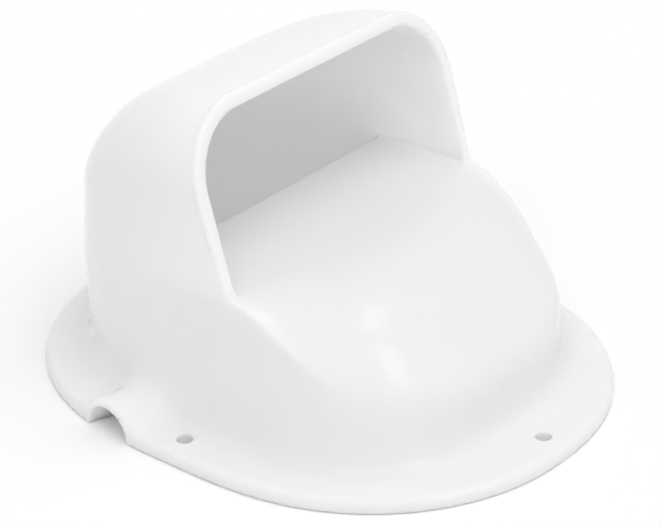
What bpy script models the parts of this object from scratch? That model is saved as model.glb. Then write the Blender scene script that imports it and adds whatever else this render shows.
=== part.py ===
"""Low-profile deck cowl vent: a moulded hood over a sheltered duct collar. Metres, +Z up, mouth towards -Y.

The origin is the middle of the flange, on the deck. The hood, the ramp with its nose and the flange are one
moulding. Under the ramp stands a duct collar with an insect screen on top. Water that runs over the ramp's
inner edge falls behind the collar and leaves through the drain tunnels in the flange.
"""
import math

import bmesh
import bpy
from mathutils import Matrix

# Running clearance between pieces that touch
CLEARANCE = 0.0003

# Flange: how far it stands out from the body, its thickness and its rounded top edge
FLANGE_SIDE = 0.0184
FLANGE_FRONT = 0.0235
FLANGE_REAR = 0.0176
FLANGE_THICKNESS = 0.0046
FLANGE_EDGE_RADIUS = 0.0028
FLANGE_EXPONENT = 2.42
FLANGE_WAVE_FOUR = 0.0034
FLANGE_WAVE_SIX = 0.007
BODY_FILLET = 0.008

# Body outline seen from above: a front and a rear half, each a rounded superellipse
BODY_WIDTH = 0.1316
BODY_FRONT = 0.0772
BODY_REAR = 0.0807
FRONT_EXPONENT = 2.85
REAR_EXPONENT = 2.65
REAR_BULGE = 0.0012

# Hood: its roof, the roof's fall to the rear and the rounding between wall and roof
ROOF_HEIGHT = 0.114
ROOF_FALL = 0.0355
ROOF_FALL_EXPONENT = 1.76
ROOF_FALL_START = 0.0057
ROOF_REAR_EXPONENT = 2.94
RIM_ROUNDING = 0.0254
REAR_ROUNDING_REACH = 0.024
REAR_ROUNDING_HEIGHT = 0.0229
ROUNDING_GROWTH = 1.43
WALL = 0.004
RIM_BEAD_HEIGHT = 0.0009
RIM_BEAD_DEPTH = 0.0032

# Mouth plane, which leans back, and the ramp that runs in through it
MOUTH_Y = -0.0127
MOUTH_LEAN = 0.313
RAMP_HEIGHT = 0.0565
RAMP_EDGE_Y = 0.0252
RAMP_THICKNESS = 0.0035
LOWER_WALL = 0.0043
CHAMBER_OVERRUN = 0.0035

# Nose: a dome along the middle that falls faster along its two sides
NOSE_CROWN = 0.00025
NOSE_EXPONENT = 1.9
NOSE_FRONT_LIFT = 0.0006
NOSE_OVERRUN = 0.0006
NOSE_SIDE_STEP = 0.001
NOSE_STEP_RUN = 0.004
NOSE_SIDE_SLOPE = 0.32
NOSE_SIDE_CURVE = 12.0
NOSE_SIDE_EXPONENT = 2.07

# Drain tunnels, one through each side of the flange
TUNNEL_Y = 0.027
TUNNEL_RADIUS = 0.0085
TUNNEL_CENTRE_HEIGHT = 0.0015
TUNNEL_WALL = 0.0028
HUMP_FOOT = 0.001
HUMP_SETBACK = 0.0002
HUMP_ROOT = 0.004

# Fixing holes at the middle of each side and at both ends of the flange
HOLE_DIAMETER = 0.0053
HOLE_EDGE_SIDE = 0.0098
HOLE_EDGE_END = 0.0091

# Seal strip in a groove under the flange
SEAL_OFFSET = 0.0005
SEAL_WIDTH = 0.0036
SEAL_THICKNESS = 0.0019
SEAL_TUNNEL_GAP = 0.0025

# Duct collar for a 76 mm duct, on a foot ring that is screwed up into bosses of the moulding
DUCT_BORE = 0.076
COLLAR_WALL = 0.003
COLLAR_HEIGHT = 0.028
COLLAR_BEHIND_EDGE = 0.0032
FOOT_WIDTH = 0.009
FOOT_THICKNESS = 0.0035
FOOT_SEAL_INSET = 0.0013
FOOT_SEAL_WIDTH = 0.0044
FOOT_SEAL_THICKNESS = 0.0015

# Insect screen in the collar's rebate, and the ring that snaps over it
SCREEN_THICKNESS = 0.001
SCREEN_BAR = 0.0016
SCREEN_PITCH = 0.008
SCREEN_SEAT_WIDTH = 0.0016
SCREEN_REBATE = 0.0024
RING_TOP = 0.0018
RING_SKIRT_WALL = 0.002
RING_SKIRT_DEPTH = 0.006
RING_LIP = 0.0015
RING_CHAMFER = 0.0006

# Collar screws and the bosses that take them
SCREW_SHANK_RADIUS = 0.0016
SCREW_LENGTH = 0.0115
SCREW_HEAD_RADIUS = 0.0031
SCREW_HEAD_HEIGHT = 0.0014
SCREW_HEAD_RECESS = 0.0003
SCREW_HEAD_CHAMFER = 0.00045
SCREW_POINT_LENGTH = 0.0032
SCREW_POINT_RADIUS = 0.0004
SCREW_SLOT_WIDTH = 0.0007
SCREW_SLOT_LENGTH = 0.0038
SCREW_SLOT_DEPTH = 0.0008
SCREW_ROW_SPACING = 0.04
BOSS_RADIUS = 0.0042
BOSS_HEIGHT = 0.0125
BOSS_WALL_GAP = 0.0049
EAR_RADIUS = 0.0045

# Numbers of steps in the meshes
COLUMNS = 68
ROUND_STEPS = 40
PIN_STEPS = 16
ARC_STEPS = 12
HOLE_STEPS = 24
ROOF_SHARES = (0.78, 0.56, 0.36, 0.18)

# Values that follow from the sizes above
BODY_HALF_WIDTH = BODY_WIDTH / 2
BODY_Y = (BODY_FRONT + FLANGE_FRONT - BODY_REAR - FLANGE_REAR) / 2
FLANGE_HALF_WIDTH = BODY_HALF_WIDTH + FLANGE_SIDE
FLANGE_HALF_LENGTH = (BODY_FRONT + FLANGE_FRONT + BODY_REAR + FLANGE_REAR) / 2
FILLET_TOP = FLANGE_THICKNESS + BODY_FILLET
NOSE_TOP = RAMP_HEIGHT + NOSE_CROWN
NOSE_FOOT = FILLET_TOP + NOSE_FRONT_LIFT
NOSE_LENGTH = MOUTH_Y - BODY_Y + BODY_FRONT + NOSE_OVERRUN
COLLAR_RADIUS = DUCT_BORE / 2 + COLLAR_WALL
COLLAR_Y = RAMP_EDGE_Y - COLLAR_BEHIND_EDGE - COLLAR_RADIUS
FOOT_RADIUS = COLLAR_RADIUS + FOOT_WIDTH
SCREEN_Z = COLLAR_HEIGHT - SCREEN_REBATE
# How far a cut runs past what it cuts, and how the slope under the nose is measured
BELOW = 0.002
BEYOND = 0.01
SLOPE_STEP = 0.0005
STEEPEST_FACTOR = 2.2


def signed_power(value, exponent):
    return math.copysign(abs(value) ** exponent, value)


def superellipse(angle, half_width, front, rear, front_exponent, rear_exponent):
    """A point on the outline and its outward normal. Angle 0 is +X and a quarter turn is +Y."""
    cosine, sine = math.cos(angle), math.sin(angle)
    length, exponent = (rear, rear_exponent) if sine >= 0 else (front, front_exponent)
    x = half_width * signed_power(cosine, 2 / exponent)
    y = length * signed_power(sine, 2 / exponent)
    normal_x = signed_power(x / half_width, exponent - 1) / half_width
    normal_y = signed_power(y / length, exponent - 1) / length
    size = math.hypot(normal_x, normal_y)
    return x, y, normal_x / size, normal_y / size


def column_angles():
    """Angles of the columns, half a step off the axes so that no column sits on a flat spot."""
    return [2 * math.pi * (step + 0.5) / COLUMNS for step in range(COLUMNS)]


def body_point(angle, offset=0.0):
    """A point of the body's outline moved out by offset, and the outline's outward normal."""
    x, y, normal_x, normal_y = superellipse(
        angle, BODY_HALF_WIDTH, BODY_FRONT, BODY_REAR, FRONT_EXPONENT, REAR_EXPONENT)
    return x + normal_x * offset, y + BODY_Y + normal_y * offset, normal_x, normal_y


def roof_edge_point(x, y):
    """Where the rounding ends and the roof's flat middle begins, on the ray from the middle through x, y."""
    length, exponent = BODY_FRONT - RIM_ROUNDING, FRONT_EXPONENT
    if y > BODY_Y:
        length, exponent = BODY_REAR - REAR_ROUNDING_REACH, ROOF_REAR_EXPONENT
    half_width = BODY_HALF_WIDTH - RIM_ROUNDING
    size = (abs(x / half_width) ** exponent + abs((y - BODY_Y) / length) ** exponent) ** (1 / exponent)
    return x / size, BODY_Y + (y - BODY_Y) / size


def flange_point(angle, inset=0.0):
    """A point of the flange's outline, whose sides and corners are a little flatter than the plain curve."""
    x, y, normal_x, normal_y = superellipse(
        angle, FLANGE_HALF_WIDTH, FLANGE_HALF_LENGTH, FLANGE_HALF_LENGTH, FLANGE_EXPONENT, FLANGE_EXPONENT)
    around = math.atan2(x, -y)
    scale = 1 + FLANGE_WAVE_FOUR * math.cos(4 * around) + FLANGE_WAVE_SIX * math.cos(6 * around)
    return x * scale - normal_x * inset, y * scale - normal_y * inset


def rear_share(y):
    """How far y lies from the rim's top towards the body's rear, from 0 to 1."""
    share = (y - ROOF_FALL_START) / (BODY_Y + BODY_REAR - ROOF_FALL_START)
    return min(max(share, 0.0), 1.0)


def roof_height(y):
    return ROOF_HEIGHT - ROOF_FALL * rear_share(y) ** ROOF_FALL_EXPONENT


def nose_height(x, y):
    """Height of the ramp and nose surface in front of the mouth line."""
    reach = max(MOUTH_Y - y, 0.0)
    share = min(reach / NOSE_LENGTH, 1.0)
    rise = NOSE_TOP - NOSE_FOOT
    middle = NOSE_FOOT + rise * (1 - share ** NOSE_EXPONENT) ** (1 / NOSE_EXPONENT)
    step = NOSE_SIDE_STEP * min(reach / NOSE_STEP_RUN, 1.0)
    side = NOSE_TOP - step - NOSE_SIDE_SLOPE * reach - NOSE_SIDE_CURVE * reach ** 2
    side_share = min(abs(x) / BODY_HALF_WIDTH, 1.0)
    height = middle - (middle - min(side, middle)) * side_share ** NOSE_SIDE_EXPONENT
    return max(height, NOSE_FOOT)


def underside_height(x, y):
    """Underside of the ramp and nose, kept one thickness below the surface, square to its slope."""
    step = SLOPE_STEP
    slope_x = (nose_height(x + step, y) - nose_height(x - step, y)) / (2 * step)
    slope_y = (nose_height(x, y + step) - nose_height(x, y - step)) / (2 * step)
    steepness = min(math.sqrt(1 + slope_x ** 2 + slope_y ** 2), STEEPEST_FACTOR)
    return min(nose_height(x, y), RAMP_HEIGHT) - RAMP_THICKNESS * steepness


def mouth_plane_y(z):
    return MOUTH_Y + MOUTH_LEAN * (z - NOSE_TOP)


def material(name, colour, roughness, metallic=0.0):
    made = bpy.data.materials.new(name)
    made.use_nodes = True
    shader = made.node_tree.nodes["Principled BSDF"]
    shader.inputs["Base Color"].default_value = (*colour, 1.0)
    shader.inputs["Roughness"].default_value = roughness
    shader.inputs["Metallic"].default_value = metallic
    return made


def add_object(name, mesh_maker, finish):
    """Makes one object from a bmesh and shades its smooth parts smooth."""
    mesh_maker.normal_update()
    mesh = bpy.data.meshes.new(name)
    mesh_maker.to_mesh(mesh)
    mesh_maker.free()
    made = bpy.data.objects.new(name, mesh)
    bpy.context.collection.objects.link(made)
    if finish is not None:
        mesh.materials.append(finish)
    mesh.shade_smooth()
    mesh.set_sharp_from_angle(angle=math.radians(32))
    return made


def add_tool(name, mesh_maker):
    """Makes an object that only shapes another one, so it isn't part of the model."""
    made = add_object(name, mesh_maker, None)
    made.hide_render = True
    made.display_type = "WIRE"
    return made


def shape_with(target, tool, operation):
    modifier = target.modifiers.new(tool.name, "BOOLEAN")
    modifier.operation = operation
    modifier.object = tool
    modifier.solver = "EXACT"


def skin_rings(shape, rings, closed_round=True):
    """Joins rings of points with quads. Each ring holds as many points as the others."""
    made = [[shape.verts.new(point) for point in ring] for ring in rings]
    count = len(rings[0])
    for lower, upper in zip(made, made[1:]):
        for index in range(count if closed_round else count - 1):
            following = (index + 1) % count
            shape.faces.new((lower[index], lower[following], upper[following], upper[index]))
    return made


def loft(rings, top_point=None):
    """A closed solid from rings stacked upwards: a flat cap below, a flat cap or a fan on top."""
    shape = bmesh.new()
    made = skin_rings(shape, rings)
    shape.faces.new(tuple(reversed(made[0])))
    if top_point is None:
        shape.faces.new(tuple(made[-1]))
    else:
        tip = shape.verts.new(top_point)
        for index, vertex in enumerate(made[-1]):
            shape.faces.new((vertex, made[-1][(index + 1) % len(made[-1])], tip))
    bmesh.ops.recalc_face_normals(shape, faces=shape.faces)
    return shape


def add_block(shape, low, high):
    """Adds a box between two corners."""
    size = [top - bottom for bottom, top in zip(low, high)]
    middle = [(top + bottom) / 2 for bottom, top in zip(low, high)]
    matrix = Matrix.Translation(middle) @ Matrix.Diagonal((*size, 1.0))
    bmesh.ops.create_cube(shape, size=1.0, matrix=matrix)


def add_pin(shape, x, y, low, high, radius, steps=PIN_STEPS):
    """Adds a closed upright cylinder."""
    matrix = Matrix.Translation((x, y, (low + high) / 2))
    bmesh.ops.create_cone(shape, cap_ends=True, segments=steps, radius1=radius, radius2=radius,
                          depth=high - low, matrix=matrix)


def add_prism(shape, outline, low, high):
    """Adds an upright prism with the given outline."""
    lower, upper = skin_rings(shape, [[(x, y, height) for x, y in outline] for height in (low, high)])
    shape.faces.new(tuple(reversed(lower)))
    shape.faces.new(tuple(upper))
    bmesh.ops.recalc_face_normals(shape, faces=shape.faces)


def turned(profile, y, steps=ROUND_STEPS):
    """A ring about an upright axis at y. The profile is a closed loop of (radius, height) pairs."""
    shape = bmesh.new()
    rings = []
    for step in range(steps):
        angle = 2 * math.pi * step / steps
        rings.append([shape.verts.new((radius * math.cos(angle), y + radius * math.sin(angle), height))
                      for radius, height in profile])
    for index, ring in enumerate(rings):
        following = rings[(index + 1) % steps]
        for corner in range(len(profile)):
            beyond = (corner + 1) % len(profile)
            shape.faces.new((ring[corner], ring[beyond], following[beyond], following[corner]))
    bmesh.ops.recalc_face_normals(shape, faces=shape.faces)
    return shape


def flange_rings():
    """Rings of the flange's edge, from the deck up over its rounded top edge."""
    rings = []
    for height in (0.0, FLANGE_THICKNESS - FLANGE_EDGE_RADIUS):
        rings.append([(*flange_point(angle), height) for angle in column_angles()])
    steps = 4
    for step in range(1, steps + 1):
        turn = math.pi / 2 * step / steps
        inset = FLANGE_EDGE_RADIUS * (1 - math.cos(turn))
        height = FLANGE_THICKNESS - FLANGE_EDGE_RADIUS * (1 - math.sin(turn))
        rings.append([(*flange_point(angle, inset), height) for angle in column_angles()])
    return rings


def fillet_rings():
    """Rings of the hollow fillet between the flange and the body's wall."""
    rings = []
    steps = 4
    for step in range(steps):
        turn = math.pi / 2 * step / steps
        offset = BODY_FILLET * (1 - math.sin(turn))
        height = FLANGE_THICKNESS + BODY_FILLET * (1 - math.cos(turn))
        rings.append([(*body_point(angle, offset)[:2], height) for angle in column_angles()])
    return rings


def hood_rings(inset, wall_base, wall_steps, round_steps):
    """Rings of the wall, the rounding and the roof, moved in by inset. The roof's middle is a point."""
    columns = []
    for angle in column_angles():
        x, y, normal_x, normal_y = body_point(angle)
        edge_x, edge_y = roof_edge_point(x, y)
        share = rear_share(y)
        drop = RIM_ROUNDING + (REAR_ROUNDING_HEIGHT - RIM_ROUNDING) * share ** ROUNDING_GROWTH - inset
        start_x, start_y = x - normal_x * inset, y - normal_y * inset
        wall_top = roof_height(start_y) - inset - drop
        column = []
        for step in range(wall_steps + 1):
            part = step / wall_steps
            out = REAR_BULGE * share * math.sin(math.pi * part) ** 2
            height = wall_base + (wall_top - wall_base) * part
            column.append((start_x + normal_x * out, start_y + normal_y * out, height))
        for step in range(1, round_steps + 1):
            turn = math.pi / 2 * step / round_steps
            part = 1 - math.cos(turn)
            at_y = start_y + (edge_y - start_y) * part
            height = roof_height(at_y) - inset - drop * (1 - math.sin(turn))
            column.append((start_x + (edge_x - start_x) * part, at_y, height))
        for part in ROOF_SHARES:
            at_y = BODY_Y + (edge_y - BODY_Y) * part
            column.append((edge_x * part, at_y, roof_height(at_y) - inset))
        columns.append(column)
    return [list(ring) for ring in zip(*columns)]


def outer_form():
    """Flange, fillet, walls and roof as one closed form, before the mouth is opened."""
    rings = flange_rings() + fillet_rings() + hood_rings(0.0, FILLET_TOP, 4, 8)
    return loft(rings, (0.0, BODY_Y, roof_height(BODY_Y)))


def mouth_tool():
    """Everything above the nose and in front of the leaning mouth plane, in columns like the wall's."""
    shares = (0.2, 0.4, 0.56, 0.7, 0.81, 0.89, 0.945, 0.985, 1.01, 1.7)
    border = [body_point(angle)[:2] for angle in column_angles()]
    border = sorted([point for point in border if point[1] < MOUTH_Y - CLEARANCE],
                    key=lambda point: math.atan2(point[0], MOUTH_Y - point[1]))
    border = [(-BODY_HALF_WIDTH, MOUTH_Y)] + border + [(BODY_HALF_WIDTH, MOUTH_Y)]
    top_z = ROOF_HEIGHT + RIM_BEAD_HEIGHT + BEYOND
    shape = bmesh.new()
    middle = shape.verts.new((0.0, MOUTH_Y, NOSE_TOP))
    columns = []
    for x, y in border:
        column = []
        for share in shares:
            at_x, at_y = x * share, MOUTH_Y + (y - MOUTH_Y) * share
            column.append(shape.verts.new((at_x, at_y, nose_height(at_x, at_y))))
        columns.append(column)
    far = shares[-1]
    above = []
    for x, y in border:
        at_y = MOUTH_Y + (y - MOUTH_Y) * far if y < MOUTH_Y else mouth_plane_y(top_z)
        above.append(shape.verts.new((x * far, at_y, top_z)))
    for left, right, left_above, right_above in zip(columns, columns[1:], above, above[1:]):
        shape.faces.new((middle, left[0], right[0]))
        for row in range(len(shares) - 1):
            shape.faces.new((left[row], left[row + 1], right[row + 1], right[row]))
        shape.faces.new((left[-1], left_above, right_above, right[-1]))
    shape.faces.new(above)
    shape.faces.new([above[0]] + list(reversed(columns[0])) + [middle] + columns[-1] + [above[-1]])
    bmesh.ops.recalc_face_normals(shape, faces=shape.faces)
    return add_tool("mouth_tool", shape)


def rim_bead_tool():
    """The raised bead that borders the mouth: a slice of the hood's form, a little larger all round."""
    rings = hood_rings(-RIM_BEAD_HEIGHT, RAMP_HEIGHT - RAMP_THICKNESS / 2, 2, 8)
    bead = add_tool("rim_bead_tool", loft(rings, (0.0, BODY_Y, roof_height(BODY_Y) + RIM_BEAD_HEIGHT)))
    low, high = RAMP_HEIGHT - RAMP_THICKNESS, ROOF_HEIGHT + BEYOND
    reach = 2 * BODY_HALF_WIDTH
    slab = []
    for z in (low, high):
        y = mouth_plane_y(z) + RIM_BEAD_DEPTH / 2
        slab.append([(-reach, y - RIM_BEAD_DEPTH, z), (reach, y - RIM_BEAD_DEPTH, z),
                     (reach, y + RIM_BEAD_DEPTH / 2, z), (-reach, y + RIM_BEAD_DEPTH / 2, z)])
    shape_with(bead, add_tool("bead_slab_tool", loft(slab)), "INTERSECT")
    return bead


def air_space_tool():
    """The air space in the hood: above the ramp, and down to the deck behind the ramp's edge."""
    rings = hood_rings(WALL, FILLET_TOP, 3, 7)
    rings.insert(0, [(x, y, -BELOW) for x, y, _ in rings[0]])
    space = add_tool("air_space_tool", loft(rings, (0.0, BODY_Y, roof_height(BODY_Y) - WALL)))
    block = bmesh.new()
    reach = 2 * FLANGE_HALF_LENGTH
    add_block(block, (-reach, -reach, -4 * BELOW), (reach, RAMP_EDGE_Y, RAMP_HEIGHT))
    shape_with(space, add_tool("ramp_block_tool", block), "DIFFERENCE")
    return space


def chamber_tool():
    """The chamber under the ramp and nose, which holds the duct collar."""
    back_y = RAMP_EDGE_Y + CHAMBER_OVERRUN
    shares = (0.25, 0.5, 0.68, 0.8, 0.88, 0.94, 0.975, 1.0)
    border = []
    for angle in column_angles():
        x, y = body_point(angle, -LOWER_WALL)[:2]
        if y > back_y:
            part = (back_y - COLLAR_Y) / (y - COLLAR_Y)
            x, y = x * part, back_y
        border.append((x, y))
    low = [(x, y, -BELOW) for x, y in border]
    rings = [low]
    for share in reversed(shares):
        ring = []
        for x, y in border:
            at_x, at_y = x * share, COLLAR_Y + (y - COLLAR_Y) * share
            ring.append((at_x, at_y, underside_height(at_x, at_y)))
        rings.append(ring)
    return add_tool("chamber_tool", loft(rings, (0.0, COLLAR_Y, underside_height(0.0, COLLAR_Y))))


def arch(shape, side, radius, inner_x, outer_x, low):
    """Adds a round-topped bar along X, as wide as its radius allows and flat below."""
    steps = 16
    section = [(TUNNEL_Y + radius, low), (TUNNEL_Y - radius, low)]
    for step in range(steps + 1):
        turn = math.pi * (1 - step / steps)
        section.append((TUNNEL_Y + radius * math.cos(turn), TUNNEL_CENTRE_HEIGHT + radius * math.sin(turn)))
    ends = [[shape.verts.new((side * x, y, z)) for y, z in section] for x in (inner_x, outer_x)]
    for index in range(len(section)):
        following = (index + 1) % len(section)
        shape.faces.new((ends[0][index], ends[0][following], ends[1][following], ends[1][index]))
    shape.faces.new(ends[0])
    shape.faces.new(ends[1])


def wall_x(y, offset):
    """Half-width of the body's outline, moved out by offset, at a place along Y."""
    length, exponent = (BODY_REAR, REAR_EXPONENT) if y > BODY_Y else (BODY_FRONT, FRONT_EXPONENT)
    share = min(abs(y - BODY_Y) / (length + offset), 1.0)
    return (BODY_HALF_WIDTH + offset) * (1 - share ** exponent) ** (1 / exponent)


def flange_edge_x(y):
    share = min(abs(y) / FLANGE_HALF_LENGTH, 1.0)
    return FLANGE_HALF_WIDTH * (1 - share ** FLANGE_EXPONENT) ** (1 / FLANGE_EXPONENT)


def drain_tools():
    """The humps over the drain tunnels, and the tunnels themselves."""
    humps, tunnels = bmesh.new(), bmesh.new()
    hump_radius = TUNNEL_RADIUS + TUNNEL_WALL
    hump_end = flange_edge_x(TUNNEL_Y + hump_radius) - HUMP_SETBACK
    inside = wall_x(TUNNEL_Y + hump_radius, -WALL) - HUMP_ROOT
    for side in (-1, 1):
        arch(humps, side, hump_radius, inside, hump_end, HUMP_FOOT)
        arch(tunnels, side, TUNNEL_RADIUS, inside - BELOW, FLANGE_HALF_WIDTH + BEYOND, -BELOW)
    for shape in (humps, tunnels):
        bmesh.ops.recalc_face_normals(shape, faces=shape.faces)
    return add_tool("hump_tool", humps), add_tool("tunnel_tool", tunnels)


def hole_places():
    side = FLANGE_HALF_WIDTH - HOLE_EDGE_SIDE
    end = FLANGE_HALF_LENGTH - HOLE_EDGE_END
    return [(side, 0.0), (0.0, end), (-side, 0.0), (0.0, -end)]


def hole_tool():
    shape = bmesh.new()
    for x, y in hole_places():
        add_pin(shape, x, y, -BELOW, FILLET_TOP + BELOW, HOLE_DIAMETER / 2, HOLE_STEPS)
    return add_tool("fixing_hole_tool", shape)


def boss_places():
    """Centres of the collar's screws, beside the wall on both sides of the collar."""
    places = []
    for side in (-1, 1):
        for row in (-0.5, 0.5):
            y = COLLAR_Y + row * SCREW_ROW_SPACING
            places.append((side * (wall_x(y, -LOWER_WALL) - BOSS_WALL_GAP), y))
    return places


def boss_tools():
    """Bosses with a web to the wall, and the blind holes that their screws turn into."""
    bosses, holes = bmesh.new(), bmesh.new()
    low = FOOT_THICKNESS + CLEARANCE
    for x, y in boss_places():
        side = math.copysign(1.0, x)
        reach = BOSS_WALL_GAP + LOWER_WALL / 2
        outline = [(x + side * reach, y - BOSS_RADIUS), (x + side * reach, y + BOSS_RADIUS)]
        for step in range(ARC_STEPS + 1):
            turn = math.pi / 2 + math.pi * step / ARC_STEPS
            outline.append((x + side * BOSS_RADIUS * math.cos(turn), y + BOSS_RADIUS * math.sin(turn)))
        add_prism(bosses, outline, low, low + BOSS_HEIGHT)
        add_pin(holes, x, y, 0.0, FOOT_THICKNESS + SCREW_LENGTH, SCREW_SHANK_RADIUS + CLEARANCE)
    return add_tool("boss_tool", bosses), add_tool("boss_hole_tool", holes)


def seal_band(start_angle, end_angle, side_gap, height):
    """A strip that follows the body's outline under the flange, between two angles."""
    steps = 40
    inner = SEAL_OFFSET - side_gap
    outer = SEAL_OFFSET + SEAL_WIDTH + side_gap
    low = -BELOW if side_gap else 0.0
    rings = []
    for step in range(steps + 1):
        angle = start_angle + (end_angle - start_angle) * step / steps
        near, far = body_point(angle, inner), body_point(angle, outer)
        rings.append([(near[0], near[1], low), (far[0], far[1], low),
                      (far[0], far[1], height), (near[0], near[1], height)])
    shape = bmesh.new()
    made = skin_rings(shape, rings)
    shape.faces.new(tuple(reversed(made[0])))
    shape.faces.new(tuple(made[-1]))
    bmesh.ops.recalc_face_normals(shape, faces=shape.faces)
    return shape


def angle_at(y):
    """The outline's angle on the +X side at a place along Y."""
    length, exponent = (BODY_REAR, REAR_EXPONENT) if y > BODY_Y else (BODY_FRONT, FRONT_EXPONENT)
    share = min(max((y - BODY_Y) / length, -1.0), 1.0)
    return math.asin(signed_power(share, exponent / 2))


def seal_spans(end_gap):
    """Start and end angles of the front and the rear strip, which stop short of the tunnels."""
    clear = TUNNEL_RADIUS + SEAL_TUNNEL_GAP + end_gap
    before, after = angle_at(TUNNEL_Y - clear), angle_at(TUNNEL_Y + clear)
    return (-math.pi - before, before), (after, math.pi - after)


def build_shell(finish):
    shell = add_object("cowl_shell", outer_form(), finish)
    humps, tunnels = drain_tools()
    bosses, boss_holes = boss_tools()
    shape_with(shell, humps, "UNION")
    shape_with(shell, rim_bead_tool(), "UNION")
    shape_with(shell, mouth_tool(), "DIFFERENCE")
    shape_with(shell, air_space_tool(), "DIFFERENCE")
    shape_with(shell, chamber_tool(), "DIFFERENCE")
    shape_with(shell, bosses, "UNION")
    shape_with(shell, boss_holes, "DIFFERENCE")
    shape_with(shell, tunnels, "DIFFERENCE")
    shape_with(shell, hole_tool(), "DIFFERENCE")
    for name, (start, end) in zip(("front_groove_tool", "rear_groove_tool"), seal_spans(0.0)):
        groove = add_tool(name, seal_band(start, end, CLEARANCE, SEAL_THICKNESS + CLEARANCE))
        shape_with(shell, groove, "DIFFERENCE")
    return shell


def build_flange_seals(finish):
    for name, (start, end) in zip(("flange_seal_front", "flange_seal_rear"), seal_spans(CLEARANCE)):
        add_object(name, seal_band(start, end, 0.0, SEAL_THICKNESS), finish)


def collar_profile():
    bore = DUCT_BORE / 2
    seat = bore + SCREEN_SEAT_WIDTH
    return [(bore, 0.0), (FOOT_RADIUS, 0.0), (FOOT_RADIUS, FOOT_THICKNESS), (COLLAR_RADIUS, FOOT_THICKNESS),
            (COLLAR_RADIUS, COLLAR_HEIGHT), (seat, COLLAR_HEIGHT), (seat, SCREEN_Z), (bore, SCREEN_Z)]


def foot_seal_radii():
    inner = DUCT_BORE / 2 + FOOT_SEAL_INSET + CLEARANCE
    return inner, inner + FOOT_SEAL_WIDTH


def build_collar(finish):
    collar = add_object("duct_collar", turned(collar_profile(), COLLAR_Y), finish)
    ears, holes = bmesh.new(), bmesh.new()
    head_top = SCREW_HEAD_RECESS + SCREW_HEAD_HEIGHT + CLEARANCE
    for x, y in boss_places():
        direction = math.atan2(y - COLLAR_Y, x)
        start = COLLAR_RADIUS + FOOT_WIDTH / 2
        from_x, from_y = start * math.cos(direction), COLLAR_Y + start * math.sin(direction)
        side_x, side_y = -EAR_RADIUS * math.sin(direction), EAR_RADIUS * math.cos(direction)
        outline = [(from_x + side_x, from_y + side_y), (from_x - side_x, from_y - side_y)]
        for step in range(ARC_STEPS + 1):
            turn = direction - math.pi / 2 + math.pi * step / ARC_STEPS
            outline.append((x + EAR_RADIUS * math.cos(turn), y + EAR_RADIUS * math.sin(turn)))
        add_prism(ears, outline, 0.0, FOOT_THICKNESS)
        add_pin(holes, x, y, -2 * BELOW, FOOT_THICKNESS + BELOW, SCREW_SHANK_RADIUS + CLEARANCE)
    heads = bmesh.new()
    for x, y in boss_places():
        add_pin(heads, x, y, -BELOW, head_top, SCREW_HEAD_RADIUS + CLEARANCE, HOLE_STEPS)
    inner, outer = foot_seal_radii()
    groove = [(inner - CLEARANCE, -BELOW), (outer + CLEARANCE, -BELOW),
              (outer + CLEARANCE, FOOT_SEAL_THICKNESS + CLEARANCE),
              (inner - CLEARANCE, FOOT_SEAL_THICKNESS + CLEARANCE)]
    shape_with(collar, add_tool("ear_tool", ears), "UNION")
    shape_with(collar, add_tool("ear_hole_tool", holes), "DIFFERENCE")
    shape_with(collar, add_tool("head_recess_tool", heads), "DIFFERENCE")
    shape_with(collar, add_tool("foot_groove_tool", turned(groove, COLLAR_Y)), "DIFFERENCE")
    return collar


def build_collar_seal(finish):
    inner, outer = foot_seal_radii()
    profile = [(inner, 0.0), (outer, 0.0), (outer, FOOT_SEAL_THICKNESS), (inner, FOOT_SEAL_THICKNESS)]
    add_object("collar_seal", turned(profile, COLLAR_Y), finish)


def build_screen(finish):
    """A round grille of crossed bars inside a plain rim, resting in the collar's rebate."""
    radius = DUCT_BORE / 2 + SCREEN_SEAT_WIDTH - CLEARANCE
    rim = DUCT_BORE / 2 - SCREEN_BAR
    low = SCREEN_Z + CLEARANCE
    shape = bmesh.new()
    add_pin(shape, 0.0, COLLAR_Y, low, low + SCREEN_THICKNESS, radius, ROUND_STEPS)
    screen = add_object("insect_screen", shape, finish)
    count = int(rim / SCREEN_PITCH) + 1
    half = (SCREEN_PITCH - SCREEN_BAR) / 2
    windows = bmesh.new()
    for row in range(-count, count + 1):
        for column in range(-count, count + 1):
            x, y = column * SCREEN_PITCH, row * SCREEN_PITCH
            if math.hypot(abs(x) + half, abs(y) + half) < rim:
                add_block(windows, (x - half, COLLAR_Y + y - half, low - BELOW),
                          (x + half, COLLAR_Y + y + half, low + SCREEN_THICKNESS + BELOW))
    shape_with(screen, add_tool("window_tool", windows), "DIFFERENCE")


def build_screen_ring(finish):
    """A snap ring over the collar's top: a lip on the screen, a flat top and a skirt outside."""
    skirt_inner = COLLAR_RADIUS + CLEARANCE
    skirt_outer = skirt_inner + RING_SKIRT_WALL
    lip_outer = DUCT_BORE / 2 + SCREEN_SEAT_WIDTH - CLEARANCE
    lip_inner = DUCT_BORE / 2 - RING_LIP
    lip_low = SCREEN_Z + SCREEN_THICKNESS + 2 * CLEARANCE
    under = COLLAR_HEIGHT + CLEARANCE
    top = under + RING_TOP
    low = under - RING_SKIRT_DEPTH
    chamfer = RING_CHAMFER
    profile = [(lip_inner, lip_low), (lip_outer, lip_low), (lip_outer, under), (skirt_inner, under),
               (skirt_inner, low), (skirt_outer, low), (skirt_outer, top - chamfer),
               (skirt_outer - chamfer, top), (lip_inner + chamfer, top), (lip_inner, top - chamfer)]
    add_object("screen_ring", turned(profile, COLLAR_Y), finish)


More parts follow.
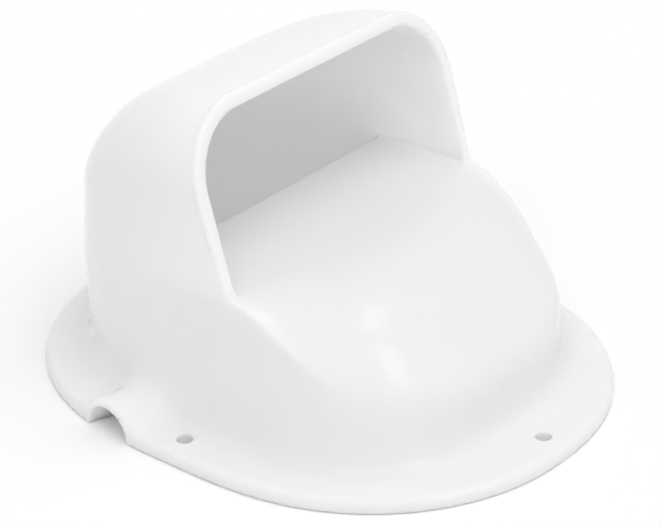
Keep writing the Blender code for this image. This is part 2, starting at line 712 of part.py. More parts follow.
def build_screws(finish):
    """Pan head screws, driven from below through the foot's ears into the bosses."""
    low = SCREW_HEAD_RECESS
    tip = FOOT_THICKNESS + SCREW_LENGTH - 2 * CLEARANCE
    radius = SCREW_SHANK_RADIUS
    head = SCREW_HEAD_RADIUS
    profile = [(head - SCREW_HEAD_CHAMFER, low), (head, low + SCREW_HEAD_CHAMFER),
               (head, low + SCREW_HEAD_HEIGHT), (radius, low + SCREW_HEAD_HEIGHT),
               (radius, tip - SCREW_POINT_LENGTH), (SCREW_POINT_RADIUS, tip)]
    for number, (x, y) in enumerate(boss_places(), 1):
        rings = []
        for at_radius, height in profile:
            ring = []
            for step in range(PIN_STEPS):
                turn = 2 * math.pi * step / PIN_STEPS
                ring.append((at_radius * math.cos(turn), at_radius * math.sin(turn), height))
            rings.append(ring)
        screw = add_object(f"collar_screw_{number}", loft(rings), finish)
        screw.location = (x, y, 0.0)
        slot = bmesh.new()
        reach, half = SCREW_SLOT_LENGTH / 2, SCREW_SLOT_WIDTH / 2
        add_block(slot, (x - reach, y - half, -BELOW), (x + reach, y + half, low + SCREW_SLOT_DEPTH))
        shape_with(screw, add_tool(f"slot_tool_{number}", slot), "DIFFERENCE")


def main():
    for old in list(bpy.data.objects):
        bpy.data.objects.remove(old, do_unlink=True)
    white = material("white_gloss_abs", (0.86, 0.87, 0.88), 0.22)
    grey = material("white_satin_abs", (0.8, 0.81, 0.82), 0.4)
    foam = material("black_foam_rubber", (0.03, 0.03, 0.035), 0.85)
    steel = material("stainless_steel", (0.62, 0.62, 0.63), 0.3, 1.0)
    build_shell(white)
    build_flange_seals(foam)
    build_collar(grey)
    build_collar_seal(foam)
    build_screen(steel)
    build_screen_ring(grey)
    build_screws(steel)


main()
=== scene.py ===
"""Looks of the deck cowl vent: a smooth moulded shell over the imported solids, studio light and camera.

The shell is described by one signed field in millimetres: negative inside the plastic, positive outside.
Its parts are blended with soft edges, as in a moulding, and the zero level becomes the mesh.
"""
import math

import bpy
import numpy as np
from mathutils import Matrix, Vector


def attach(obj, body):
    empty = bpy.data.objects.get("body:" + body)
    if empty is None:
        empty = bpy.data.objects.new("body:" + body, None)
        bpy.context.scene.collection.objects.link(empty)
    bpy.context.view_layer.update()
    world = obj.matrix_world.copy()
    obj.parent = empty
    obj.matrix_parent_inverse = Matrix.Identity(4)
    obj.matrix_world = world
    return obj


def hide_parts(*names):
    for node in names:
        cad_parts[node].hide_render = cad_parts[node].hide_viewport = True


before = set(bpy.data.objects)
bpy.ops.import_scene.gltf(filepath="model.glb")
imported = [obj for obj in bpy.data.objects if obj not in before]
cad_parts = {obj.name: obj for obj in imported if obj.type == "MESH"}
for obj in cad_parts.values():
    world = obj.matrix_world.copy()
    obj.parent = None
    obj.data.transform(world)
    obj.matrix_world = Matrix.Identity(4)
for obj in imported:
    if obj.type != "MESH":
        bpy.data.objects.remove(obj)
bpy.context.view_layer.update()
MM = 0.001

# Flange
FLANGE_HALF_WIDTH = 84.1
FLANGE_HALF_LENGTH = 99.3
FLANGE_EXPONENT = 2.42
FLANGE_WAVE_FOUR = 0.0034
FLANGE_WAVE_SIX = 0.007
FLANGE_THICKNESS = 4.6
FLANGE_EDGE = 2.8
FOOT_BLEND = 0.5
BODY_FILLET = 8.0

# Body outline and hood
BODY_Y = 1.2
BODY_HALF_WIDTH = 65.8
BODY_FRONT = 77.2
BODY_REAR = 80.7
FRONT_EXPONENT = 2.85
REAR_EXPONENT = 2.65
REAR_BULGE = 1.2
ROOF_HEIGHT = 114.0
ROOF_FALL = 35.5
ROOF_FALL_EXPONENT = 1.76
ROOF_FALL_START = 5.7
ROOF_REAR_EXPONENT = 2.94
RIM_ROUNDING = 25.4
REAR_ROUNDING_REACH = 24.0
REAR_ROUNDING_HEIGHT = 22.9
ROUNDING_GROWTH = 1.43
WALL = 4.0
WALL_FOOT = FLANGE_THICKNESS + BODY_FILLET

# Rim, with its raised lip. The lip and the inner edge fade out towards the ramp
MOUTH_Y = -12.7
MOUTH_LEAN = 0.313
LIP_HEIGHT = 0.85
LIP_DEPTH = 2.2
LIP_STEP = 3.0
LIP_FADE = (55.0, 84.0)
RIM_EDGE = 1.5
RIM_FOOT_FILLET = 1.0
INNER_EDGE = 1.0
INNER_EDGE_START = 0.6
INNER_EDGE_END = 4

# Ramp and nose
RAMP_HEIGHT = 56.6
RAMP_EDGE_Y = 25.2
RAMP_EDGE = 1.0
RAMP_CORNER = 1.8
RAMP_THICKNESS = 3.5
NOSE_DROP = 28.7
NOSE_REACH = 64.0
NOSE_EXPONENT = 2.8
NOSE_SIDE_RUN = 5.0
NOSE_SIDE_SLOPE = 0.382
NOSE_SIDE_CURVE = 0.0135
NOSE_SIDE_EXPONENT = 4.0
CREASE_SHARP = 1.5
CREASE_SOFT = 20.8
CREASE_FADE = (20.0, 50.0)

# Hollow under the ramp
LOWER_WALL = 4.3
HOLLOW_PAST_RAMP = 2.0
HOLLOW_BLEND = 0.4

# Drain tunnels, which start inside the body, and the humps over them
TUNNEL_START = 50
TUNNEL_X = 82.0
TUNNEL_Y = 27.2
TUNNEL_Z = 0.4
TUNNEL_RADIUS = 9.0
TUNNEL_TURN = 18.0
TUNNEL_WALL = 2.8
TUNNEL_EDGE = 0.7
HUMP_FILLET = 6.0

# Fixing holes and the groove of the seal
HOLE_RADIUS = 2.65
HOLE_X = 74.4
HOLE_Y = 90.4
HOLE_EDGE = 0.45
SEAL_MIDDLE = 2.3
SEAL_HALF_WIDTH = 2.1
SEAL_DEPTH = 2.2
SEAL_GAP_Y = 27.0
SEAL_GAP_HALF = 11.0

# Bosses for the screws of the collar
COLLAR_Y = -19.0
BOSS_ROW = 20.0
BOSS_WALL_GAP = 4.9
BOSS_RADIUS = 4.2
BOSS_LOW = 3.8
BOSS_HIGH = 16.3
BOSS_HOLE = 1.9
BOSS_CAP = 1.2
BOSS_BLEND = 0.5

# Width of a cubic blend that rounds a square corner with a radius of 1
BLEND = 6 * (1 - math.cos(math.pi / 4))
# A distance beyond anything in the field, and the limits of the hood's own field
FAR = 1e3
HOOD_FIELD_LOW = -60.0
HOOD_FIELD_HIGH = 200.0
# Steps for the slopes of the nose, of the field and of the field for shading
NOSE_STEP = 0.05
FIELD_STEP = 0.04
SHADING_STEP = 0.15

# Mesh: cell sizes, how firmly a point stays in the middle of its cell, and how far it may move in cells
CELL = 1.0
FIRMNESS = 0.08
FARTHEST_FIT = 0.9
FARTHEST_MOVE = 0.4
LEAST_SLOPE = 0.3


def smooth_max(first, second, width):
    """The larger of two fields, with the corner between them rounded over the given width."""
    width = np.maximum(width, 1e-4)
    near = np.maximum(width - np.abs(first - second), 0.0) / width
    return np.maximum(first, second) + near ** 3 * width / 6


def smooth_min(first, second, width):
    return -smooth_max(-first, -second, width)


def ease(value, start, end):
    """Rises smoothly from 0 at start to 1 at end."""
    share = np.clip((value - start) / (end - start), 0.0, 1.0)
    return share * share * (3 - 2 * share)


def gauge(x, y, half_width, length, exponent):
    """Size of a point against an outline, 1 on it, and that size's slope in X and Y."""
    across, along = np.abs(x) / half_width, np.abs(y) / length
    size = np.maximum((across ** exponent + along ** exponent) ** (1 / exponent), 1e-6)
    slope_x = np.sign(x) * (across / size) ** (exponent - 1) / half_width
    slope_y = np.sign(y) * (along / size) ** (exponent - 1) / length
    return size, slope_x, slope_y


def rear_share(y):
    """How far back a place lies on the falling part of the roof, 1 at the body's rear."""
    return np.clip((y - ROOF_FALL_START) / (BODY_Y + BODY_REAR - ROOF_FALL_START), 0.0, None)


def roof_height(y):
    return ROOF_HEIGHT - ROOF_FALL * rear_share(y) ** ROOF_FALL_EXPONENT


def nose_height(x, y):
    """Height of the nose, which falls away later in its middle than beside the body's walls."""
    reach = np.maximum(MOUTH_Y - y, 0.0)
    middle = RAMP_HEIGHT - NOSE_DROP * (reach / NOSE_REACH) ** NOSE_EXPONENT
    eased = reach - NOSE_SIDE_RUN * (1 - np.exp(-reach / NOSE_SIDE_RUN))
    side = RAMP_HEIGHT - NOSE_SIDE_SLOPE * eased - NOSE_SIDE_CURVE * reach ** 2
    side_share = np.minimum(np.abs(x) / BODY_HALF_WIDTH, 1.0) ** NOSE_SIDE_EXPONENT
    return middle - (middle - np.minimum(side, middle)) * side_share


def wall_x(y, offset):
    """Half-width of the body's outline, moved out by offset, at a place along Y in front of the middle."""
    share = abs(y - BODY_Y) / (BODY_FRONT + offset)
    return (BODY_HALF_WIDTH + offset) * (1 - share ** FRONT_EXPONENT) ** (1 / FRONT_EXPONENT)


def body_plan(x, y):
    """What the hood's field needs of a place seen from above."""
    across_y = y - BODY_Y
    behind = across_y >= 0
    length = np.where(behind, BODY_REAR, BODY_FRONT)
    exponent = np.where(behind, REAR_EXPONENT, FRONT_EXPONENT)
    size, slope_x, slope_y = gauge(x, across_y, BODY_HALF_WIDTH, length, exponent)
    slope = np.hypot(slope_x, slope_y)
    inner_length = np.where(behind, BODY_REAR - REAR_ROUNDING_REACH, BODY_FRONT - RIM_ROUNDING)
    inner_exponent = np.where(behind, ROOF_REAR_EXPONENT, FRONT_EXPONENT)
    inner, _, _ = gauge(x, across_y, BODY_HALF_WIDTH - RIM_ROUNDING, inner_length, inner_exponent)
    share = rear_share(BODY_Y + across_y / size)
    growth = np.minimum(share, 1) ** ROUNDING_GROWTH
    drop = RIM_ROUNDING + (REAR_ROUNDING_HEIGHT - RIM_ROUNDING) * growth
    plan = {
        "wall": (size - 1) / slope,
        "normal_y": slope_y / slope,
        "round": np.where(inner > 1, (inner - 1) * size / (inner - size), 0.0),
        "run": (inner - size) / (inner * slope),
        "drop": drop,
        "share": share,
        "wall_top": roof_height(BODY_Y + across_y / size) - drop,
        "roof": roof_height(y),
        "roof_slope": ROOF_FALL * ROOF_FALL_EXPONENT * rear_share(y) ** (ROOF_FALL_EXPONENT - 1)
        / (BODY_Y + BODY_REAR - ROOF_FALL_START),
    }
    return plan, slope_x, slope_y, slope


def nose_plan(x, y, slope_x, slope_y, slope):
    """Height and steepness of the nose, and the width of the blend where it meets the body's wall."""
    step = NOSE_STEP
    steep_x = (nose_height(x + step, y) - nose_height(x - step, y)) / (2 * step)
    steep_y = (nose_height(x, y + step) - nose_height(x, y - step)) / (2 * step)
    steepness = np.sqrt(1 + steep_x ** 2 + steep_y ** 2)
    alike = -(steep_x * slope_x + steep_y * slope_y) / (slope * steepness)
    reach = MOUTH_Y - y
    radius = CREASE_SHARP + (CREASE_SOFT - CREASE_SHARP) * ease(reach, *CREASE_FADE)
    crease = 6 * radius * (1 - np.sqrt(np.clip((1 + alike) / 2, 0.0, 1.0)))
    return {
        "nose": nose_height(x, y),
        "steepness": steepness,
        "crease": np.where(reach > 0, crease, BLEND * RIM_EDGE),
    }


def boss_plan(x, y):
    """Distances to the four bosses, which run into the body's wall, and to their holes."""
    boss = np.full(np.shape(x), FAR)
    boss_hole = np.full(np.shape(x), FAR)
    for row in (-BOSS_ROW, BOSS_ROW):
        at_y = COLLAR_Y + row
        at_x = wall_x(at_y, -LOWER_WALL) - BOSS_WALL_GAP
        past = np.abs(x) - at_x
        boss = np.minimum(boss, np.hypot(np.minimum(past, 0.0), y - at_y))
        boss_hole = np.minimum(boss_hole, np.hypot(past, y - at_y) - BOSS_HOLE)
    return {"boss": boss - BOSS_RADIUS, "boss_hole": boss_hole}


def make_plan(x, y):
    """All that depends on the place seen from above alone, for the fields below."""
    plan, slope_x, slope_y, slope = body_plan(x, y)
    plan.update(nose_plan(x, y, slope_x, slope_y, slope))
    plan.update(boss_plan(x, y))
    flange, flange_x, flange_y = gauge(x, y, FLANGE_HALF_WIDTH, FLANGE_HALF_LENGTH, FLANGE_EXPONENT)
    around = np.arctan2(x, -y)
    wave = 1 + FLANGE_WAVE_FOUR * np.cos(4 * around) + FLANGE_WAVE_SIX * np.cos(6 * around)
    side_hole = np.hypot(np.abs(x) - HOLE_X, y)
    end_hole = np.hypot(x, np.abs(y) - HOLE_Y)
    turn = math.radians(TUNNEL_TURN)
    plan.update({
        "x": x,
        "y": y,
        "flange": (flange / wave - 1) / np.hypot(flange_x, flange_y),
        "hole": np.minimum(side_hole, end_hole) - HOLE_RADIUS,
        "beside_tunnel": (TUNNEL_X - np.abs(x)) * math.sin(turn) + (y - TUNNEL_Y) * math.cos(turn),
    })
    return plan


def hood_field(plan, z):
    """Distance to the hood's outer skin, as if it had no mouth."""
    part = np.clip((z - WALL_FOOT) / (plan["wall_top"] - WALL_FOOT), 0.0, 1.0)
    bulge = REAR_BULGE * np.minimum(plan["share"], 1) * np.sin(math.pi * part) ** 2
    across = np.maximum(plan["round"] - bulge / plan["run"], 0.0)
    depth = plan["roof"] - z
    up = np.maximum(plan["drop"] - depth, 0.0) / plan["drop"]
    size = np.maximum(np.hypot(across, up), 1e-3)
    out = across / (plan["run"] * size)
    rise = up / (plan["drop"] * size)
    slope_y = out * plan["normal_y"] + rise * plan["roof_slope"]
    slope_x = out * np.sqrt(np.maximum(1 - plan["normal_y"] ** 2, 0.0))
    slope = np.sqrt(slope_x ** 2 + slope_y ** 2 + rise ** 2)
    return np.clip((size - 1) / np.maximum(slope, 1e-3), HOOD_FIELD_LOW, HOOD_FIELD_HIGH)


def outer_field(plan, z, hood, above_nose, ring):
    """The outer skin: hood and nose with the rim's lip, on the flange with its humps."""
    x, y = plan["x"], plan["y"]
    lean = math.hypot(1, MOUTH_LEAN)
    before_mouth = (MOUTH_Y + MOUTH_LEAN * (z - RAMP_HEIGHT) - y) / lean
    behind_lip = ease(-before_mouth, LIP_DEPTH - LIP_STEP / 2, LIP_DEPTH + LIP_STEP / 2)
    outer = hood - LIP_HEIGHT * (1 - behind_lip) * ease(z, *LIP_FADE)
    kept = smooth_min(before_mouth, above_nose, BLEND * RIM_FOOT_FILLET)
    outer = smooth_max(outer, kept, plan["crease"])
    hump = np.maximum(ring - TUNNEL_RADIUS - TUNNEL_WALL, TUNNEL_START - np.abs(x))
    flange = smooth_min(z - FLANGE_THICKNESS, hump, BLEND * HUMP_FILLET)
    flange = smooth_max(plan["flange"], flange, BLEND * FLANGE_EDGE)
    return smooth_min(outer, flange, BLEND * BODY_FILLET)


def shell_field(plan, z):
    """The whole moulding."""
    x, y = plan["x"], plan["y"]
    hood = hood_field(plan, z)
    above_nose = (z - plan["nose"]) / plan["steepness"]
    ring = np.hypot(plan["beside_tunnel"], np.maximum(z - TUNNEL_Z, 0.0))
    outer = outer_field(plan, z, hood, above_nose, ring)

    beyond_ramp = smooth_min(RAMP_HEIGHT - z, RAMP_EDGE_Y - y, BLEND * RAMP_EDGE)
    air = smooth_max(hood + WALL, beyond_ramp, BLEND * RAMP_CORNER)
    edge_share = ease(z, RAMP_HEIGHT + INNER_EDGE_START, RAMP_HEIGHT + INNER_EDGE_END)
    solid = smooth_max(outer, -air, BLEND * INNER_EDGE * edge_share)

    hollow = smooth_max(plan["wall"] + LOWER_WALL, above_nose + RAMP_THICKNESS, plan["crease"])
    hollow = np.maximum(hollow, y - RAMP_EDGE_Y - HOLLOW_PAST_RAMP)
    solid = smooth_max(solid, -hollow, HOLLOW_BLEND)

    boss = np.maximum(np.maximum(plan["boss"], BOSS_LOW - z), z - BOSS_HIGH)
    boss = np.maximum(boss, plan["wall"] + LOWER_WALL / 2)
    solid = smooth_min(solid, boss, BOSS_BLEND)
    solid = np.maximum(solid, -np.maximum(plan["boss_hole"], z - BOSS_HIGH + BOSS_CAP))

    tunnel = np.maximum(ring - TUNNEL_RADIUS, TUNNEL_START - np.abs(x))
    solid = smooth_max(solid, -tunnel, BLEND * TUNNEL_EDGE)
    solid = smooth_max(solid, -plan["hole"], BLEND * HOLE_EDGE)
    groove = np.maximum(np.abs(plan["wall"] - SEAL_MIDDLE) - SEAL_HALF_WIDTH, z - SEAL_DEPTH)
    groove = np.maximum(groove, SEAL_GAP_HALF - np.abs(y - SEAL_GAP_Y))
    solid = np.maximum(solid, -groove)
    return smooth_max(solid, -z, FOOT_BLEND)


def field_at(points):
    return shell_field(make_plan(points[:, 0], points[:, 1]), points[:, 2])


def slope_at(points, delta=FIELD_STEP):
    """The field's slope by central differences."""
    slope = np.empty_like(points)
    for axis in range(3):
        step = np.zeros(3)
        step[axis] = delta
        slope[:, axis] = (field_at(points + step) - field_at(points - step)) / (2 * delta)
    return slope


def sample_field(low, high, cell):
    """The field at the corners of a grid of cells."""
    counts = [int(math.ceil((top - bottom) / cell)) + 1 for bottom, top in zip(low, high)]
    axes = [bottom + cell * np.arange(count) for bottom, count in zip(low, counts)]
    plan = make_plan(*np.meshgrid(axes[0], axes[1], indexing="ij"))
    values = np.empty(counts, np.float64)
    for level, z in enumerate(axes[2]):
        values[:, :, level] = shell_field(plan, z)
    values[values == 0] = 1e-9
    return values


def find_crossings(values, low, cell):
    """Where the field changes sign along the grid's edges, the four cells around each, and which way."""
    corner = np.array(low, float)
    cells = [count - 1 for count in values.shape]
    places, owners, turns = [], [], []
    for axis in range(3):
        first = [slice(None)] * 3
        second = [slice(None)] * 3
        first[axis], second[axis] = slice(0, -1), slice(1, None)
        others = [other for other in range(3) if other != axis]
        for other in others:
            first[other] = second[other] = slice(1, -1)
        before, after = values[tuple(first)], values[tuple(second)]
        crossing = np.argwhere((before < 0) != (after < 0))
        start, end = before[tuple(crossing.T)], after[tuple(crossing.T)]
        grid = crossing.copy()
        for other in others:
            grid[:, other] += 1
        place = corner + cell * grid.astype(float)
        place[:, axis] += cell * start / (start - end)
        around = []
        for back_a, back_b in ((1, 1), (0, 1), (0, 0), (1, 0)):
            index = grid.copy()
            index[:, others[0]] -= back_a
            index[:, others[1]] -= back_b
            around.append((index[:, 0] * cells[1] + index[:, 1]) * cells[2] + index[:, 2])
        places.append(place)
        owners.append(np.stack(around, 1))
        turns.append((start < 0) if axis != 1 else (start > 0))
    return np.concatenate(places), np.concatenate(owners), np.concatenate(turns)


def fit_points(place, normal, index, count, cell):
    """One point in each cell, near the middle of its crossings and on the planes through them."""
    number = len(count)
    middle = np.zeros((number, 3))
    for side in range(4):
        for axis in range(3):
            middle[:, axis] += np.bincount(index[:, side], place[:, axis], number)
    middle /= count[:, None]
    matrix = np.zeros((number, 3, 3))
    right = np.zeros((number, 3))
    for side in range(4):
        at = index[:, side]
        away = np.einsum("ij,ij->i", normal, place - middle[at])
        for row in range(3):
            right[:, row] += np.bincount(at, normal[:, row] * away, number)
            for column in range(3):
                matrix[:, row, column] += np.bincount(at, normal[:, row] * normal[:, column], number)
    matrix += np.eye(3) * FIRMNESS * count[:, None, None] / 4
    shift = np.linalg.solve(matrix, right[:, :, None])[:, :, 0]
    reach = np.linalg.norm(shift, axis=1, keepdims=True)
    shift *= np.minimum(1.0, FARTHEST_FIT * cell / np.maximum(reach, 1e-9))
    return middle + shift


def contour(low, high, cell):
    """Points and quads of the zero level, with one point in each cell that the surface passes."""
    place, owner, turn = find_crossings(sample_field(low, high, cell), low, cell)
    slope = slope_at(place)
    size = np.maximum(np.linalg.norm(slope, axis=1), 1e-6)
    value = field_at(place)
    place = place - slope * (value / size ** 2)[:, None]
    normal = slope / size[:, None]

    used, index = np.unique(owner, return_inverse=True)
    index = index.reshape(owner.shape)
    count = np.bincount(index.ravel(), minlength=len(used)).astype(float)
    point = fit_points(place, normal, index, count, cell)
    for _ in range(2):
        slope = slope_at(point)
        size = np.maximum(np.linalg.norm(slope, axis=1), LEAST_SLOPE)
        move = -field_at(point) / size ** 2
        point = point + slope * np.clip(move, -FARTHEST_MOVE * cell, FARTHEST_MOVE * cell)[:, None]
    quads = np.where(turn[:, None], index, index[:, ::-1])
    return point, quads


def build_shell(name, cell):
    """The shell as one object, in metres, shaded from the field's own slope."""
    # The grid reaches a few cells past the shell on each side
    low = [-FLANGE_HALF_WIDTH - 2 * cell, -FLANGE_HALF_LENGTH - 3 * cell, -1.5 * cell]
    high = [-low[0], -low[1], ROOF_HEIGHT + 3 * cell]
    point, quads = contour(low, high, cell)
    mesh = bpy.data.meshes.new(name)
    mesh.from_pydata((point * MM).tolist(), [], quads.tolist())
    mesh.validate()
    made = bpy.data.objects.new(name, mesh)
    bpy.context.scene.collection.objects.link(made)
    mesh.shade_smooth()
    slope = slope_at(point, SHADING_STEP)
    mesh.normals_split_custom_set_from_vertices((slope / np.linalg.norm(slope, axis=1)[:, None]).tolist())
    return made


# White plastic: blotches of tint and gloss, and the unevenness of its skin
WHITE_GLOSS = (0.94, 0.947, 0.955)
WHITE_SATIN = (0.88, 0.885, 0.88)
GLOSS_ROUGHNESS = 0.12
SATIN_ROUGHNESS = 0.42
PLASTIC_IOR = 1.5
BLOTCH_SCALE = 38.0
BLOTCH_LOW = (0.99, 0.992, 0.992)
BLOTCH_HIGH = (1.0, 1.0, 0.998)
BLOTCH_GLOSS = (0.85, 1.15)
SKIN_SCALE = 260.0
SKIN_STRENGTH = 0.12
# How deep light wanders in the white plastic, in metres, for red, green and blue, and how much of it does
# so: all places have the least share. It grows with height towards the thin roof, and on faces that look
# towards the middle of the vent
WANDER_DEPTH = 0.03
WANDER_COLOURS = (0.96, 1.0, 0.95)
WANDER_LEAST = 0.25
ROOF_RANGE = (0.058, 0.085)
ROOF_MOST = 0.45
INWARD_RANGE = (-0.004, -0.015)
INWARD_MOST = 1.0

# Foam rubber and stainless steel
FOAM_SCALE = 1400.0
FOAM_LOW = (0.012, 0.012, 0.014)
FOAM_HIGH = (0.045, 0.045, 0.05)
FOAM_STRENGTH = 0.6
FOAM_ROUGHNESS = 0.85
STEEL_COLOUR = (0.62, 0.62, 0.63)
STEEL_SCALE = 900.0
STEEL_ROUGHNESS = (0.22, 0.38)

BUMP_DISTANCE = 0.0002
WHOLE = (0.0, 1.0)


def new_material(name):
    made = bpy.data.materials.new(name)
    made.use_nodes = True
    return made, made.node_tree.nodes, made.node_tree.links


def add_noise(nodes, links, place, scale, detail=2.0):
    noise = nodes.new("ShaderNodeTexNoise")
    noise.inputs["Scale"].default_value = scale
    noise.inputs["Detail"].default_value = detail
    links.new(place.outputs["Position"], noise.inputs["Vector"])
    return noise.outputs["Fac"]


def add_colour_mix(nodes, links, share, first, second):
    mix = nodes.new("ShaderNodeMix")
    mix.data_type = "RGBA"
    mix.inputs["A"].default_value = (*first, 1)
    mix.inputs["B"].default_value = (*second, 1)
    links.new(share, mix.inputs["Factor"])
    return mix.outputs["Result"]


def add_map(nodes, links, value, source, target):
    """Maps a value from the source range to the target range."""
    mapped = nodes.new("ShaderNodeMapRange")
    mapped.inputs["From Min"].default_value = source[0]
    mapped.inputs["From Max"].default_value = source[1]
    mapped.inputs["To Min"].default_value = target[0]
    mapped.inputs["To Max"].default_value = target[1]
    links.new(value, mapped.inputs["Value"])
    return mapped


def add_bump(nodes, links, height, strength, shader):
    bump = nodes.new("ShaderNodeBump")
    bump.inputs["Strength"].default_value = strength
    bump.inputs["Distance"].default_value = BUMP_DISTANCE
    links.new(height, bump.inputs["Height"])
    links.new(bump.outputs["Normal"], shader.inputs["Normal"])


def add_larger(nodes, links, first, second):
    larger = nodes.new("ShaderNodeMath")
    larger.operation = "MAXIMUM"
    links.new(first, larger.inputs[0])
    links.new(second, larger.inputs[1])
    return larger.outputs["Value"]


def add_wandering_light(nodes, links, place, shader):
    """Lets light through the plastic, more in the thin roof and most on faces that look inwards."""
    axes = nodes.new("ShaderNodeSeparateXYZ")
    links.new(place.outputs["Position"], axes.inputs["Vector"])
    facing = nodes.new("ShaderNodeVectorMath")
    facing.operation = "DOT_PRODUCT"
    links.new(place.outputs["Position"], facing.inputs[0])
    links.new(place.outputs["Normal"], facing.inputs[1])
    roof = add_map(nodes, links, axes.outputs["Z"], ROOF_RANGE, (WANDER_LEAST, ROOF_MOST))
    inward = add_map(nodes, links, facing.outputs["Value"], INWARD_RANGE, (WANDER_LEAST, INWARD_MOST))
    weight = add_larger(nodes, links, roof.outputs["Result"], inward.outputs["Result"])
    links.new(weight, shader.inputs["Subsurface Weight"])
    shader.inputs["Subsurface Radius"].default_value = WANDER_COLOURS
    shader.inputs["Subsurface Scale"].default_value = WANDER_DEPTH


def moulded_plastic(name, colour, roughness, translucent):
    """White moulded plastic: faint blotches of tint and gloss, and a barely uneven skin."""
    made, nodes, links = new_material(name)
    shader = nodes["Principled BSDF"]
    place = nodes.new("ShaderNodeNewGeometry")
    blotch = add_noise(nodes, links, place, BLOTCH_SCALE, 3.0)
    low = [value * share for value, share in zip(colour, BLOTCH_LOW)]
    high = [value * share for value, share in zip(colour, BLOTCH_HIGH)]
    links.new(add_colour_mix(nodes, links, blotch, low, high), shader.inputs["Base Color"])
    gloss = add_map(nodes, links, blotch, WHOLE, [roughness * share for share in BLOTCH_GLOSS])
    links.new(gloss.outputs["Result"], shader.inputs["Roughness"])
    add_bump(nodes, links, add_noise(nodes, links, place, SKIN_SCALE), SKIN_STRENGTH, shader)
    shader.inputs["IOR"].default_value = PLASTIC_IOR
    if translucent:
        add_wandering_light(nodes, links, place, shader)
    return made


def foam_rubber(name):
    """Black foam with fine cells."""
    made, nodes, links = new_material(name)
    shader = nodes["Principled BSDF"]
    place = nodes.new("ShaderNodeNewGeometry")
    cells = nodes.new("ShaderNodeTexVoronoi")
    cells.inputs["Scale"].default_value = FOAM_SCALE
    links.new(place.outputs["Position"], cells.inputs["Vector"])
    colour = add_colour_mix(nodes, links, cells.outputs["Distance"], FOAM_LOW, FOAM_HIGH)
    links.new(colour, shader.inputs["Base Color"])
    add_bump(nodes, links, cells.outputs["Distance"], FOAM_STRENGTH, shader)
    shader.inputs["Roughness"].default_value = FOAM_ROUGHNESS
    return made


def stainless(name):
    """Plain stainless steel with a slightly uneven gloss."""
    made, nodes, links = new_material(name)
    shader = nodes["Principled BSDF"]
    place = nodes.new("ShaderNodeNewGeometry")
    grain = add_noise(nodes, links, place, STEEL_SCALE)
    rough = add_map(nodes, links, grain, WHOLE, STEEL_ROUGHNESS)
    links.new(rough.outputs["Result"], shader.inputs["Roughness"])
    shader.inputs["Base Color"].default_value = (*STEEL_COLOUR, 1)
    shader.inputs["Metallic"].default_value = 1.0
    return made


def dress():
    """Gives each piece its material and puts the smooth shell in place of the faceted one."""
    white = moulded_plastic("white_gloss_abs", WHITE_GLOSS, GLOSS_ROUGHNESS, True)
    satin = moulded_plastic("white_satin_abs", WHITE_SATIN, SATIN_ROUGHNESS, False)
    foam = foam_rubber("black_foam_rubber")
    steel = stainless("stainless_steel")
    shell = build_shell("moulded_shell", CELL)
    shell.data.materials.append(white)
    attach(shell, "root")
    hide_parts("cowl_shell")
    finishes = {"duct_collar": satin, "screen_ring": satin, "insect_screen": steel, "collar_seal": foam,
                "flange_seal_front": foam, "flange_seal_rear": foam}
    for name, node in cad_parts.items():
        finish = finishes.get(name, steel if name.startswith("collar_screw") else white)
        node.data.materials.clear()
        node.data.materials.append(finish)


# Camera, fitted to the photograph
CAMERA_AZIMUTH = -51.363
CAMERA_ELEVATION = 28.233
CAMERA_DISTANCE = 0.86665
CAMERA_LENS = 138.77
CAMERA_TARGET = (0.0, -0.00162, 0.03927)

# Lamps, all aimed at one place and at one distance from it
LAMP_TARGET = (0.0, 0.0, 0.04)
LAMP_DISTANCE = 1.4
SOFTBOX_SIDE = 1.2
# World strength for light and for what is seen, where 1 is white
WORLD_LIGHT = 0.55
WORLD_SEEN = 1.0
# Floor: it turns to white between these distances from the vent, and lies just below it
FLOOR_COLOUR = (0.98, 0.98, 0.98)
FLOOR_FADE = (0.1, 0.19)
FLOOR_ROUGHNESS = 0.9
FLOOR_REACH = 3.0
FLOOR_GAP = 0.0004


def direction(azimuth, elevation):
    """Unit vector towards a place around the object. Azimuth 0 is in front of it, on -Y."""
    turn, up = math.radians(azimuth), math.radians(elevation)
    return Vector((math.sin(turn) * math.cos(up), -math.cos(turn) * math.cos(up), math.sin(up)))


def aim(thing, target):
    thing.rotation_euler = (Vector(target) - thing.location).to_track_quat("-Z", "Y").to_euler()


def set_camera():
    data = bpy.data.cameras.new("camera")
    data.sensor_width = 36.0
    data.lens = CAMERA_LENS
    data.clip_start = 0.01
    data.clip_end = 20.0
    camera = bpy.data.objects.new("camera", data)
    bpy.context.scene.collection.objects.link(camera)
    camera.location = Vector(CAMERA_TARGET) + direction(CAMERA_AZIMUTH, CAMERA_ELEVATION) * CAMERA_DISTANCE
    aim(camera, CAMERA_TARGET)
    bpy.context.scene.camera = camera


def add_lamp(name, azimuth, elevation, width, height, watts):
    """A rectangular lamp aimed at the vent. Gloss doesn't show its shape."""
    data = bpy.data.lights.new(name, "AREA")
    data.shape = "RECTANGLE"
    data.size = width
    data.size_y = height
    data.energy = watts
    lamp = bpy.data.objects.new(name, data)
    bpy.context.scene.collection.objects.link(lamp)
    lamp.location = Vector(LAMP_TARGET) + direction(azimuth, elevation) * LAMP_DISTANCE
    lamp.visible_glossy = False
    aim(lamp, LAMP_TARGET)
    return lamp


def add_card(name, azimuth, elevation, width, height, watts, roll):
    """A small lamp that the gloss mirrors, turned by roll degrees about the line to the vent."""
    card = add_lamp(name, azimuth, elevation, width, height, watts)
    card.visible_glossy = True
    card.rotation_euler.rotate_axis("Z", math.radians(roll))


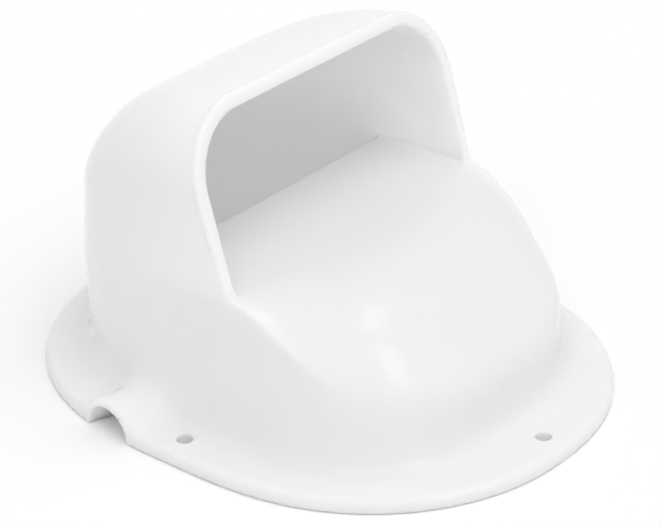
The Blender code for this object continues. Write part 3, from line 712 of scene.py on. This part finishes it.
def seen_rays(nodes, links):
    """1 for rays that show a thing to the camera, straight, mirrored or through glass, and 0 for light."""
    path = nodes.new("ShaderNodeLightPath")
    mirrored = add_larger(nodes, links, path.outputs["Is Glossy Ray"], path.outputs["Is Transmission Ray"])
    return add_larger(nodes, links, path.outputs["Is Camera Ray"], mirrored)


def floor_finish(name):
    """A pale matt floor that is seen as plain white at some distance from the vent."""
    made, nodes, links = new_material(name)
    shader = nodes["Principled BSDF"]
    shader.inputs["Base Color"].default_value = (*FLOOR_COLOUR, 1)
    shader.inputs["Roughness"].default_value = FLOOR_ROUGHNESS
    shader.inputs["Specular IOR Level"].default_value = 0.0
    place = nodes.new("ShaderNodeNewGeometry")
    away = nodes.new("ShaderNodeVectorMath")
    away.operation = "LENGTH"
    links.new(place.outputs["Position"], away.inputs[0])
    fade = add_map(nodes, links, away.outputs["Value"], FLOOR_FADE, WHOLE)
    links.new(seen_rays(nodes, links), fade.inputs["To Max"])
    white = nodes.new("ShaderNodeEmission")
    blend = nodes.new("ShaderNodeMixShader")
    links.new(fade.outputs["Result"], blend.inputs["Fac"])
    links.new(shader.outputs["BSDF"], blend.inputs[1])
    links.new(white.outputs["Emission"], blend.inputs[2])
    links.new(blend.outputs["Shader"], nodes["Material Output"].inputs["Surface"])
    return made


def set_world():
    """A white world that is seen at full strength and lights the vent at a lower one."""
    world = bpy.data.worlds.new("studio")
    world.use_nodes = True
    bpy.context.scene.world = world
    nodes, links = world.node_tree.nodes, world.node_tree.links
    strength = nodes.new("ShaderNodeMix")
    strength.inputs["A"].default_value = WORLD_LIGHT
    strength.inputs["B"].default_value = WORLD_SEEN
    links.new(seen_rays(nodes, links), strength.inputs["Factor"])
    background = nodes["Background"]
    links.new(strength.outputs["Result"], background.inputs["Strength"])
    background.inputs["Color"].default_value = (1.0, 1.0, 1.0, 1)


def set_floor():
    mesh = bpy.data.meshes.new("floor")
    reach = FLOOR_REACH
    mesh.from_pydata([(-reach, -reach, 0), (reach, -reach, 0), (reach, reach, 0), (-reach, reach, 0)],
                     [], [(0, 1, 2, 3)])
    floor = bpy.data.objects.new("floor", mesh)
    floor.location.z = -FLOOR_GAP
    bpy.context.scene.collection.objects.link(floor)
    mesh.materials.append(floor_finish("pale_floor"))


def set_lamps():
    """Three softboxes, and two cards for the two highlights on the nose."""
    add_lamp("above_left", -50, 60, SOFTBOX_SIDE, SOFTBOX_SIDE, 8.1)
    add_lamp("above_right", 60, 60, SOFTBOX_SIDE, SOFTBOX_SIDE, 2.3)
    add_lamp("rear", 180, 30, SOFTBOX_SIDE, SOFTBOX_SIDE, 1.6)
    add_card("square_card", 61, 66, 0.6, 0.18, 0.42, -22)
    add_card("wedge_card", -4, 44, 0.28, 0.9, 1.1, -27)


dress()
set_world()
set_floor()
set_lamps()
set_camera()
bpy.context.scene.view_settings.view_transform = "Standard"
